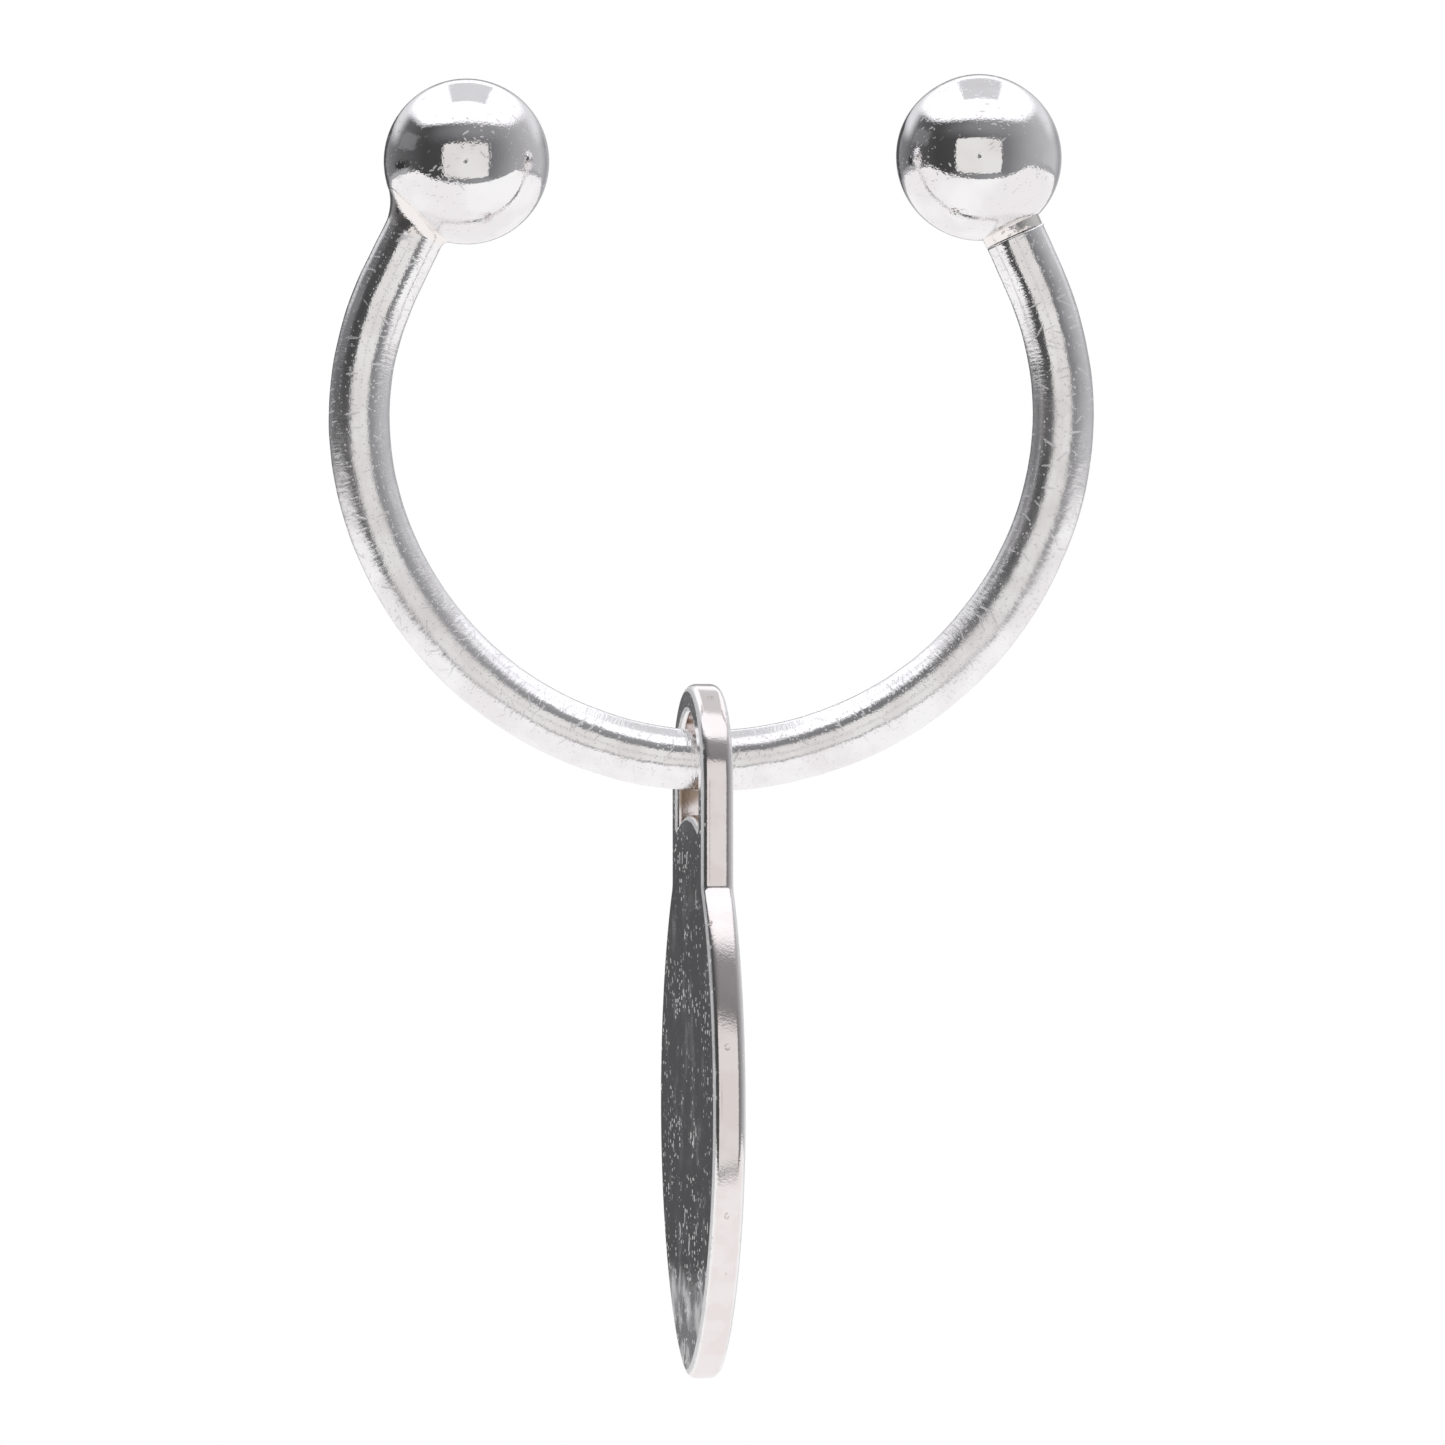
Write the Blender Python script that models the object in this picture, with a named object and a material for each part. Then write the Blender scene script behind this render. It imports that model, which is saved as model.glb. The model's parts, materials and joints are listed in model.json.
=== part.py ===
"""A horseshoe key ring in silver: a bent wire bow with a ball at each end and a hanging tag.

The left ball is soldered on. The right ball screws on a threaded stud in the end of the wire,
so it comes off to let keys and the tag's loop onto the wire.

Frame: the bow lies in the XZ plane with its mouth at +Z. The origin is on the wire's centreline
at the lowest point of the bow, and the tag hangs from there towards -Z. Lengths are in metres.
"""

import math

import bmesh
import bpy
from mathutils import Matrix, Vector

MM = 0.001
CLEARANCE = 0.04 * MM       # between pieces that touch on the real ring

# The bow: a round wire, bent to one radius at the bottom and drawn in at both arms.
WIRE_RADIUS = 1.4 * MM
RING_RADIUS = 16.2 * MM     # to the wire's centreline
ARM_START = math.radians(14)        # the arms leave the round bottom this far below the equator
LEFT_LEAN = math.radians(26)        # the left arm's end leans in from the vertical by this
LEFT_BEND_RADIUS = 14.2 * MM
LEFT_STRAIGHT = 1.84 * MM
RIGHT_LEAN = math.radians(24.3)
RIGHT_BEND_RADIUS = 14.94 * MM
RIGHT_STRAIGHT = 2.17 * MM
WIRE_SIDES = 24

# The balls. The soldered one sits a little off the wire's line, towards the mouth.
BALL_RADIUS = 3.8 * MM
LEFT_BALL_REACH = 4.66 * MM         # from the end of the left arm to the ball's centre, along the wire
LEFT_BALL_OFFSET = 0.71 * MM        # sideways
TENON_SHORT_OF_CENTRE = 1.2 * MM    # the wire's tenon ends this far before the ball's centre
RIGHT_BALL_REACH = 4.0 * MM

# The screw joint: a stud with an M2 thread, and a bush cut from the same wire.
THREAD_PITCH = 0.4 * MM
THREAD_CREST_RADIUS = 1.0 * MM
THREAD_ROOT_RADIUS = 0.77 * MM
THREAD_LENGTH = 3.2 * MM            # eight turns
STUD_ROOT_LENGTH = 2.2 * MM
BUSH_LENGTH = 3.6 * MM
BUSH_BORE_RADIUS = THREAD_CREST_RADIUS + 0.05 * MM

# The solder at the left ball: thin inside the mouth, full on the outside.
SOLDER_THIN_LEG = 0.3 * MM
SOLDER_FULL_LEG = 1.15 * MM
SOLDER_LIP = 0.03 * MM              # the blunt edge where the solder runs out

# The tag: a pointed oval plate with a loop at its top, in one piece.
TAG_THICKNESS = 1.5 * MM
TAG_EDGE_RADIUS = 0.4 * MM
TAG_HALF_WIDTH = 8.0 * MM
TAG_OVAL_CENTRE = -15.9 * MM
TAG_TOP_LENGTH = 13.05 * MM         # the oval's reach above its middle, and below it
TAG_TIP_LENGTH = 12.45 * MM
TAG_TOP_POWER = 0.62                # how full the oval is above its middle, and below it
TAG_TIP_POWER = 0.64
LOOP_CENTRE = -1.0 * MM
LOOP_OUTER_RADIUS = 4.5 * MM
LOOP_INNER_RADIUS = 3.2 * MM
HOLE_FLOOR_PEAK = -2.52 * MM
HOLE_FLOOR_DROP = 0.7 * MM          # from the peak to the hole's lower corners
TAG_YAW = math.radians(9.2)         # the tag hangs turned this much on the wire
TAG_SHIFT = -0.38 * MM              # along the wire from the bow's lowest point


def silver(name, colour, roughness):
    """A polished or worked silver finish for one piece."""
    material = bpy.data.materials.new(name)
    material.use_nodes = True
    shader = material.node_tree.nodes["Principled BSDF"]
    shader.inputs["Base Color"].default_value = (*colour, 1.0)
    shader.inputs["Metallic"].default_value = 1.0
    shader.inputs["Roughness"].default_value = roughness
    return material


def add_piece(name, bm, material, origin=Vector(), turn=Matrix.Identity(3)):
    """Makes a named object of a mesh drawn about `origin`, with its axes turned by `turn`."""
    bmesh.ops.remove_doubles(bm, verts=bm.verts, dist=1e-8)
    bmesh.ops.recalc_face_normals(bm, faces=bm.faces)
    mesh = bpy.data.meshes.new(name)
    bm.to_mesh(mesh)
    bm.free()
    mesh.shade_smooth()
    mesh.set_sharp_from_angle(angle=math.radians(35))
    mesh.materials.append(material)
    piece = bpy.data.objects.new(name, mesh)
    piece.location = origin
    piece.rotation_euler = turn.to_euler()
    bpy.context.scene.collection.objects.link(piece)
    return piece


def frame_along(direction):
    """The rotation whose Z axis points along `direction`, with Y kept along the world's Y."""
    across = Vector((0, 1, 0)).cross(direction)
    return Matrix((across, Vector((0, 1, 0)), direction)).transposed()


def arm_end(side, lean, bend_radius, straight):
    """Where the wire of one arm ends, and the way it points. `side` is -1 left, 1 right."""
    ring_centre = Vector((0, 0, RING_RADIUS))
    start = ring_centre + RING_RADIUS * Vector((side * math.cos(ARM_START), 0, -math.sin(ARM_START)))
    inward_at_start = Vector((-side * math.cos(ARM_START), 0, math.sin(ARM_START)))
    inward_at_end = Vector((-side * math.cos(lean), 0, -math.sin(lean)))
    direction = Vector((-side * math.sin(lean), 0, math.cos(lean)))
    bend_centre = start + bend_radius * inward_at_start
    end = bend_centre - bend_radius * inward_at_end + straight * direction
    return end, direction, bend_centre


LEFT_END, LEFT_WAY, LEFT_BEND_CENTRE = arm_end(-1, LEFT_LEAN, LEFT_BEND_RADIUS, LEFT_STRAIGHT)
RIGHT_END, RIGHT_WAY, RIGHT_BEND_CENTRE = arm_end(1, RIGHT_LEAN, RIGHT_BEND_RADIUS, RIGHT_STRAIGHT)
LEFT_INWARD = Vector((LEFT_WAY.z, 0, -LEFT_WAY.x))
LEFT_BALL = LEFT_END + LEFT_BALL_REACH * LEFT_WAY + LEFT_BALL_OFFSET * LEFT_INWARD
RIGHT_BALL = RIGHT_END + RIGHT_BALL_REACH * RIGHT_WAY


def last_ring(geometry):
    """The edges and vertices of the ring that a spin or an extrusion has just made."""
    return [item for item in geometry if not isinstance(item, bmesh.types.BMFace)]


def bend(bm, ring, centre, angle, steps):
    """Carries the wire's open end round a centre, in the bow's plane."""
    made = bmesh.ops.spin(bm, geom=ring, cent=centre, axis=(0, -1, 0), angle=angle, steps=steps)
    return last_ring(made["geom_last"])


def run_straight(bm, ring, step):
    """Carries the wire's open end along a straight line."""
    edges = [item for item in ring if isinstance(item, bmesh.types.BMEdge)]
    made = last_ring(bmesh.ops.extrude_edge_only(bm, edges=edges)["geom"])
    verts = [item for item in made if isinstance(item, bmesh.types.BMVert)]
    bmesh.ops.translate(bm, verts=verts, vec=step)
    return made


def close_end(bm, ring):
    """Fills the open end with one flat face."""
    edges = [item for item in ring if isinstance(item, bmesh.types.BMEdge)]
    made = bmesh.ops.contextual_create(bm, geom=edges)
    return made["faces"][0]


def bow_wire(material):
    """The wire, followed from its tenon in the left ball, round the bow, to the right end."""
    bm = bmesh.new()
    tenon = LEFT_BALL_REACH - TENON_SHORT_OF_CENTRE
    start = LEFT_END + tenon * LEFT_WAY
    place = Matrix.Translation(start) @ frame_along(LEFT_WAY).to_4x4()
    bmesh.ops.create_circle(bm, segments=WIRE_SIDES, radius=WIRE_RADIUS, matrix=place)
    first = list(bm.verts) + list(bm.edges)

    ring = run_straight(bm, first, -(tenon + LEFT_STRAIGHT) * LEFT_WAY)
    ring = bend(bm, ring, LEFT_BEND_CENTRE, LEFT_LEAN + ARM_START, 8)
    ring = bend(bm, ring, (0, 0, RING_RADIUS), math.pi - 2 * ARM_START, 32)
    ring = bend(bm, ring, RIGHT_BEND_CENTRE, RIGHT_LEAN + ARM_START, 8)
    ring = run_straight(bm, ring, RIGHT_STRAIGHT * RIGHT_WAY)
    close_end(bm, first)

    # The right end is drilled for the stud: an inset of the end face is pushed down the wire.
    end_face = close_end(bm, ring)
    hole_radius = THREAD_ROOT_RADIUS + CLEARANCE
    rim = (WIRE_RADIUS - hole_radius) * math.cos(math.pi / WIRE_SIDES)
    bmesh.ops.inset_individual(bm, faces=[end_face], thickness=rim)
    hole_depth = STUD_ROOT_LENGTH + CLEARANCE
    floor = bmesh.ops.extrude_discrete_faces(bm, faces=[end_face])["faces"][0]
    bmesh.ops.translate(bm, verts=floor.verts, vec=-hole_depth * RIGHT_WAY)
    return add_piece("bow_wire", bm, material)


def turned(bm, profile, steps):
    """Turns a profile of (radius, height) points about the Z axis."""
    verts = [bm.verts.new((radius, 0, height)) for radius, height in profile]
    edges = [bm.edges.new(pair) for pair in zip(verts, verts[1:])]
    bmesh.ops.spin(bm, geom=verts + edges, cent=(0, 0, 0), axis=(0, 0, 1),
                   angle=math.tau, steps=steps, use_merge=True)


def drilled_ball(name, centre, way, offset, hole_radius, hole_end, material):
    """A ball with a blind hole drilled against `way`, `offset` to the side of its centre.

    The hole's floor is `hole_end` short of the ball's centre.
    """
    bm = bmesh.new()
    bmesh.ops.create_uvsphere(bm, u_segments=36, v_segments=22, radius=BALL_RADIUS)
    ball = add_piece(name, bm, material, centre, frame_along(way))

    drill = bmesh.new()
    length = 2 * BALL_RADIUS
    middle = Vector((-offset, 0, -hole_end - length / 2))
    bmesh.ops.create_cone(drill, cap_ends=True, segments=32, radius1=hole_radius, radius2=hole_radius,
                          depth=length, matrix=Matrix.Translation(middle))
    cutter = add_piece(name + "_drill", drill, material, centre, frame_along(way))
    cutter.hide_render = True
    cutter.display_type = "WIRE"
    cut = ball.modifiers.new("drill", "BOOLEAN")
    cut.operation = "DIFFERENCE"
    cut.object = cutter
    return ball


def solder_fillet(material):
    """The ring of solder round the wire at the left ball.

    Each section, at an angle round the wire, has a flat side on the wire, a side that follows
    the ball, and a hollow outer side that starts along the wire and ends on the ball.
    """
    bm = bmesh.new()
    sections = []
    count = 36
    inner = WIRE_RADIUS + CLEARANCE
    reach = BALL_RADIUS + CLEARANCE

    def ball_height(radius, toward):
        """How far up the wire the ball's surface is, at a distance from the wire's axis."""
        off_centre = radius ** 2 - 2 * radius * LEFT_BALL_OFFSET * toward + LEFT_BALL_OFFSET ** 2
        return LEFT_BALL_REACH - math.sqrt(reach ** 2 - off_centre)

    for index in range(count):
        angle = math.tau * index / count
        toward = math.cos(angle)        # 1 on the side that faces the mouth
        leg = SOLDER_THIN_LEG + (SOLDER_FULL_LEG - SOLDER_THIN_LEG) * (1 - toward) / 2
        outer = inner + 0.7 * leg
        corner = Vector((inner + SOLDER_LIP, ball_height(inner, toward)))
        low = Vector((inner + SOLDER_LIP, corner.y - leg))
        high = Vector((outer, ball_height(outer, toward) - SOLDER_LIP))
        section = [Vector((inner, low.y))]
        for step in range(6):
            along = step / 5
            section.append((1 - along) ** 2 * low + 2 * along * (1 - along) * corner + along ** 2 * high)
        for share in (1, 0.5, 0):
            radius = inner + share * (outer - inner)
            section.append(Vector((radius, ball_height(radius, toward))))
        ring = []
        for point in section:
            ring.append(bm.verts.new((point.x * toward, point.x * math.sin(angle), point.y)))
        sections.append(ring)

    for ring, following in zip(sections, sections[1:] + sections[:1]):
        for index in range(len(ring)):
            after = (index + 1) % len(ring)
            bm.faces.new((ring[index], ring[after], following[after], following[index]))
    return add_piece("solder_fillet", bm, material, LEFT_END, frame_along(LEFT_WAY))


def threaded_stud(material):
    """The stud: a plain root that sits in the wire, and a right-hand thread that stands out.

    Rows of points climb one pitch in every turn, four rows to a pitch: two on the crest and two
    on the root. Points past either end of the thread are brought back to that end.
    """
    bm = bmesh.new()
    count = 20
    rows_per_pitch = 4
    last_row = round(THREAD_LENGTH / THREAD_PITCH) * rows_per_pitch
    crest = (True, True, False, False)
    rows = {}
    for row in range(-rows_per_pitch, last_row + 1):
        ring = []
        for index in range(count):
            angle = math.tau * index / count
            height = THREAD_PITCH * (row / rows_per_pitch + index / count)
            radius = THREAD_CREST_RADIUS if crest[row % rows_per_pitch] else THREAD_ROOT_RADIUS
            ends = min(height, THREAD_LENGTH - height)
            radius = min(radius, THREAD_ROOT_RADIUS + max(ends, 0))
            height = min(max(height, 0), THREAD_LENGTH)
            ring.append(bm.verts.new((radius * math.cos(angle), radius * math.sin(angle), height)))
        rows[row] = ring
    for row in range(-rows_per_pitch, last_row):
        for index in range(count):
            if index < count - 1:
                right, right_up = rows[row][index + 1], rows[row + 1][index + 1]
            elif row + rows_per_pitch < last_row:
                right, right_up = rows[row + rows_per_pitch][0], rows[row + rows_per_pitch + 1][0]
            else:
                continue
            bm.faces.new((rows[row][index], right, right_up, rows[row + 1][index]))
    bmesh.ops.remove_doubles(bm, verts=bm.verts, dist=1e-8)
    open_edges = [edge for edge in bm.edges if edge.is_boundary]
    caps = bmesh.ops.holes_fill(bm, edges=open_edges, sides=0)["faces"]
    lower_cap = min(caps, key=lambda face: face.calc_center_median().z)
    root_end = bmesh.ops.extrude_discrete_faces(bm, faces=[lower_cap])["faces"][0]
    bmesh.ops.translate(bm, verts=root_end.verts, vec=(0, 0, -STUD_ROOT_LENGTH))
    return add_piece("threaded_stud", bm, material, RIGHT_END, frame_along(RIGHT_WAY))


def ball_bush(material):
    """The bush in the screw ball: a drilled length of the bow's own wire."""
    bm = bmesh.new()
    face = CLEARANCE
    back = CLEARANCE + BUSH_LENGTH
    profile = [
        (BUSH_BORE_RADIUS, face),
        (WIRE_RADIUS, face),
        (WIRE_RADIUS, back),
        (BUSH_BORE_RADIUS, back),
        (BUSH_BORE_RADIUS, face),
    ]
    turned(bm, profile, 32)
    return add_piece("ball_bush", bm, material, RIGHT_END, frame_along(RIGHT_WAY))


def oval_half_width(height):
    """The plate's half width at a height: full in the middle and pointed at both ends."""
    if height > TAG_OVAL_CENTRE:
        share = (height - TAG_OVAL_CENTRE) / TAG_TOP_LENGTH
        return TAG_HALF_WIDTH * max(1 - share * share, 0) ** TAG_TOP_POWER
    share = (height - TAG_OVAL_CENTRE) / TAG_TIP_LENGTH
    return TAG_HALF_WIDTH * max(1 - share * share, 0) ** TAG_TIP_POWER


def tag_outline():
    """The tag's outer edge as (across, height) points, down one side from the top of the loop."""
    points = []
    for step in range(13):
        angle = math.pi / 2 * (1 - step / 12)
        across = LOOP_OUTER_RADIUS * math.cos(angle)
        points.append((across, LOOP_CENTRE + LOOP_OUTER_RADIUS * math.sin(angle)))
    height = LOOP_CENTRE
    while oval_half_width(height) < LOOP_OUTER_RADIUS:
        height -= 0.01 * MM
    oval_top = math.acos((height - TAG_OVAL_CENTRE) / TAG_TOP_LENGTH)
    for step in range(37):
        angle = oval_top + (math.pi - oval_top) * step / 36
        length = TAG_TOP_LENGTH if angle < math.pi / 2 else TAG_TIP_LENGTH
        height = TAG_OVAL_CENTRE + length * math.cos(angle)
        points.append((oval_half_width(height), height))
    return points


def hole_outline():
    """The loop's hole, down one side from its top: an arch, a straight side, a humped floor."""
    points = []
    for step in range(10):
        angle = math.pi / 2 * (1 - step / 9)
        across = LOOP_INNER_RADIUS * math.cos(angle)
        points.append((across, LOOP_CENTRE + LOOP_INNER_RADIUS * math.sin(angle)))
    floor_radius = (LOOP_INNER_RADIUS ** 2 + HOLE_FLOOR_DROP ** 2) / (2 * HOLE_FLOOR_DROP)
    half_angle = math.asin(LOOP_INNER_RADIUS / floor_radius)
    for step in range(7):
        angle = half_angle * (1 - step / 6)
        height = HOLE_FLOOR_PEAK - floor_radius * (1 - math.cos(angle))
        points.append((floor_radius * math.sin(angle), height))
    return points


def closed_loop(bm, half):
    """Edges round an outline given by its right half; its two end points lie on the middle line."""
    left = [(-across, height) for across, height in reversed(half[1:-1])]
    verts = [bm.verts.new((0, across, height)) for across, height in half + left]
    return [bm.edges.new((vert, verts[index - 1])) for index, vert in enumerate(verts)]


def key_tag(material):
    """The tag, cut as a flat sheet with its hole, thickened, and rounded along every edge."""
    bm = bmesh.new()
    half = tag_outline()
    half[-1] = (0, half[-1][1])
    edges = closed_loop(bm, half)
    hole = hole_outline()
    hole[-1] = (0, HOLE_FLOOR_PEAK)
    edges += closed_loop(bm, hole)
    bmesh.ops.triangle_fill(bm, edges=edges, use_beauty=True)
    bmesh.ops.translate(bm, verts=bm.verts, vec=(-TAG_THICKNESS / 2, 0, 0))
    made = bmesh.ops.extrude_face_region(bm, geom=bm.faces[:])["geom"]
    verts = [item for item in made if isinstance(item, bmesh.types.BMVert)]
    bmesh.ops.translate(bm, verts=verts, vec=(TAG_THICKNESS, 0, 0))
    tag = add_piece("key_tag", bm, material, Vector((TAG_SHIFT, 0, 0)), Matrix.Rotation(TAG_YAW, 3, "Z"))
    rounding = tag.modifiers.new("rounded edges", "BEVEL")
    rounding.width = TAG_EDGE_RADIUS
    rounding.segments = 3
    rounding.limit_method = "ANGLE"
    rounding.angle_limit = math.radians(50)
    return tag


def build():
    for thing in list(bpy.data.objects):
        bpy.data.objects.remove(thing, do_unlink=True)
    bow_wire(silver("polished wire", (0.93, 0.92, 0.91), 0.06))
    drilled_ball("fixed_ball", LEFT_BALL, LEFT_WAY, LEFT_BALL_OFFSET, WIRE_RADIUS + CLEARANCE,
                 TENON_SHORT_OF_CENTRE - CLEARANCE, silver("polished fixed ball", (0.94, 0.93, 0.92), 0.04))
    solder_fillet(silver("solder", (0.86, 0.76, 0.66), 0.25))
    threaded_stud(silver("cut thread", (0.80, 0.79, 0.78), 0.2))
    ball_bush(silver("bush", (0.88, 0.84, 0.80), 0.15))
    bush_back = RIGHT_BALL_REACH - CLEARANCE - BUSH_LENGTH
    drilled_ball("screw_ball", RIGHT_BALL, RIGHT_WAY, 0, WIRE_RADIUS + CLEARANCE,
                 bush_back - CLEARANCE, silver("polished screw ball", (0.94, 0.93, 0.92), 0.04))
    key_tag(silver("polished tag", (0.93, 0.92, 0.91), 0.05))


build()
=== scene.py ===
# %% [markdown]
# # A horseshoe key ring in polished silver
#
# This file gives a working model of a key ring its looks. The ring is a round silver wire bent into an open
# bow, with a ball soldered on one end and a ball screwed on the other, and a pointed oval tag hanging on it.
# Everything on it is polished metal, so two things make the picture: surfaces smooth enough to reflect like a
# mirror, and a studio worth reflecting. The model's frame is loaded first, for the bodies and the joints that
# the pieces belong to.

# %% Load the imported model
import json
import math

import bpy
import numpy as np
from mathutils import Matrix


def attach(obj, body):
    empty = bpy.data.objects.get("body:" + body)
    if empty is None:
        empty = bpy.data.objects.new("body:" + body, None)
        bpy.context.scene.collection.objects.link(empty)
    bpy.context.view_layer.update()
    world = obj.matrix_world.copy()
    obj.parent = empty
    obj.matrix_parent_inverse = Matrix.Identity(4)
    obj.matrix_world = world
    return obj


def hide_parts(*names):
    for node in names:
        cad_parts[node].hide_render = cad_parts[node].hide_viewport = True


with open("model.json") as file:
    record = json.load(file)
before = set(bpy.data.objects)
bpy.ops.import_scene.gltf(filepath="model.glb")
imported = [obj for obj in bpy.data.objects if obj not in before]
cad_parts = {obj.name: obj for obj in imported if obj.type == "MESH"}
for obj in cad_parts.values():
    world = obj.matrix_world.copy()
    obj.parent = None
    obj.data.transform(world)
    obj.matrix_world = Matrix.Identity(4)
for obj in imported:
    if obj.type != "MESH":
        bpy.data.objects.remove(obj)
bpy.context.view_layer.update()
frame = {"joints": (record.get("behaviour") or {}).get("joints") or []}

# %% [markdown]
# ## Sizes
#
# A maker would note down the wire, the ring it is bent round, the balls and the tag's plate. The screw's axis
# comes from the model's own joint, and the tag's place and turn are those at which it hangs on the wire.

# %% The driving sizes, in metres
MM = 0.001
WIRE_RADIUS = 1.4 * MM
RING_RADIUS = 16.2 * MM
ARM_START = math.radians(14)
LEFT_LEAN = math.radians(26)
LEFT_BEND_RADIUS = 14.2 * MM
LEFT_STRAIGHT = 1.84 * MM
RIGHT_LEAN = math.radians(24.3)
RIGHT_BEND_RADIUS = 14.94 * MM
RIGHT_STRAIGHT = 2.17 * MM

BALL_RADIUS = 3.8 * MM
LEFT_BALL_REACH = 4.66 * MM
LEFT_BALL_OFFSET = 0.71 * MM
RIGHT_BALL_REACH = 4.0 * MM
TENON_LENGTH = LEFT_BALL_REACH - 1.2 * MM
THREAD_PITCH = 0.4 * MM
THREAD_CREST = 1.0 * MM
THREAD_ROOT = 0.77 * MM
THREAD_LENGTH = 3.2 * MM
FIT = 0.04 * MM

screw = next(joint for joint in frame["joints"] if joint["name"] == "ball_unscrew")
SCREW_WAY = np.array(screw["axis"]) / np.linalg.norm(screw["axis"])
print("the ball unscrews along", SCREW_WAY.round(3))

# %% [markdown]
# ## The camera
#
# A small shiny object looks best from far back through a long lens, so that it shows almost no perspective
# and the camera is small in its reflections. The camera looks straight along +Y at the bow's plane.

# %% The camera
VIEW_WIDTH = 66.3 * MM
VIEW_DISTANCE = 0.5
VIEW_CENTRE = (0.53 * MM, 0, 1.73 * MM)

lens = bpy.data.cameras.new("long lens")
lens.lens = lens.sensor_width * VIEW_DISTANCE / VIEW_WIDTH
camera = bpy.data.objects.new("camera", lens)
camera.location = (VIEW_CENTRE[0], -VIEW_DISTANCE, VIEW_CENTRE[2])
camera.rotation_euler = (math.pi / 2, 0, 0)
bpy.context.scene.collection.objects.link(camera)
bpy.context.scene.camera = camera
bpy.context.scene.view_settings.view_transform = "Standard"
print("lens", round(lens.lens), "mm")

# %% [markdown]
# ## Sums that a shader works out
#
# Shader nodes add and multiply one step at a time. This small class wraps a node's output so that ordinary
# Python sums on it add those nodes, and one method adds any other node with its settings and its sockets'
# values.


# %% A shader value that can be used in sums
class Signal:
    """One output of a shader node. Sums of signals and numbers add Math nodes."""

    def __init__(self, tree, socket=None):
        self.tree = tree
        self.socket = socket

    def node(self, kind, settings, values, output=0):
        """Adds a node: its own settings first, then the values or links of its sockets."""
        made = self.tree.nodes.new("ShaderNode" + kind)
        for name, setting in settings.items():
            if name == "stops":
                self.fill_ramp(made.color_ramp, setting)
            else:
                setattr(made, name, setting)
        for name, value in values.items():
            if isinstance(value, Signal):
                self.tree.links.new(value.socket, made.inputs[name])
            else:
                made.inputs[name].default_value = value
        return Signal(self.tree, made.outputs[output])

    @staticmethod
    def fill_ramp(ramp, stops):
        """Stops are (place, grey) pairs, in order."""
        while len(ramp.elements) < len(stops):
            ramp.elements.new(1)
        for element, (place, grey) in zip(ramp.elements, stops):
            element.position = place
            element.color = (grey, grey, grey, 1)

    def math(self, operation, *values):
        """One Math node, with its operation and its values in order."""
        return self.node("Math", {"operation": operation}, dict(enumerate(values)))

    def __add__(self, other):
        return self.math("ADD", self, other)

    def __radd__(self, other):
        return self.math("ADD", other, self)

    def __sub__(self, other):
        return self.math("SUBTRACT", self, other)

    def __rsub__(self, other):
        return self.math("SUBTRACT", other, self)

    def __mul__(self, other):
        return self.math("MULTIPLY", self, other)

    def __rmul__(self, other):
        return self.math("MULTIPLY", other, self)

    def __truediv__(self, other):
        return self.math("DIVIDE", self, other)

    def __rtruediv__(self, other):
        return self.math("DIVIDE", other, self)

    def __abs__(self):
        return self.math("ABSOLUTE", self)

    def at_least(self, other):
        """The larger of the two."""
        return self.math("MAXIMUM", self, other)

    def step(self, low, high):
        """0 below `low`, 1 above `high`, and a smooth rise between them."""
        settings = {"interpolation_type": "SMOOTHSTEP"}
        return self.node("MapRange", settings, {"Value": self, "From Min": low, "From Max": high})

    def window(self, low, high, edge):
        """1 between `low` and `high` and 0 outside, with soft edges of that width."""
        return self.step(low - edge, low + edge) * (1 - self.step(high - edge, high + edge))

    def blend(self, colour_a, colour_b):
        """A colour that is A where this signal is 0 and B where it is 1."""
        return self.node("Mix", {"data_type": "RGBA"}, {0: self, 6: colour_a, 7: colour_b}, output=2)

    def axes(self):
        """The x, y and z of a vector, each as its own signal."""
        return [self.node("SeparateXYZ", {}, {0: self}, output=axis) for axis in range(3)]


# %% [markdown]
# ## The studio
#
# Polished silver has no colour of its own to show: it shows the room. The room here is a usual one for
# jewellery. A wide soft light hangs overhead, a white table runs below, a pale card stands round the camera,
# and the rest is left dark on the left and mid grey on the right, because dark edges are what draw the shape
# of a polished thing. The far parts are worked out from the direction alone, in the world's shader. The table
# and the card are near enough to be real objects, so that high and low parts of the ring see them
# differently.


# %% The far studio, by direction
OVERHEAD_LEVEL = 1.2
PANE_SHADE = 0.5
WALL_BY_BEARING = [
    (0.00, 0.30), (0.05, 0.40), (0.10, 0.24), (0.20, 0.13), (0.33, 0.06), (0.42, 0.07), (0.50, 0.12),
    (0.62, 0.21), (0.70, 0.37), (0.78, 0.50), (0.86, 0.55), (0.92, 0.34), (0.96, 0.52), (1.00, 0.30),
]
PALE_WALL_LEVEL = 0.8
CURTAIN_LEVEL = 0.085
BACKDROP_LEVEL = 0.55
FLOOR_LEVEL = 0.42
WHITE = (1, 1, 1, 1)


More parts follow.
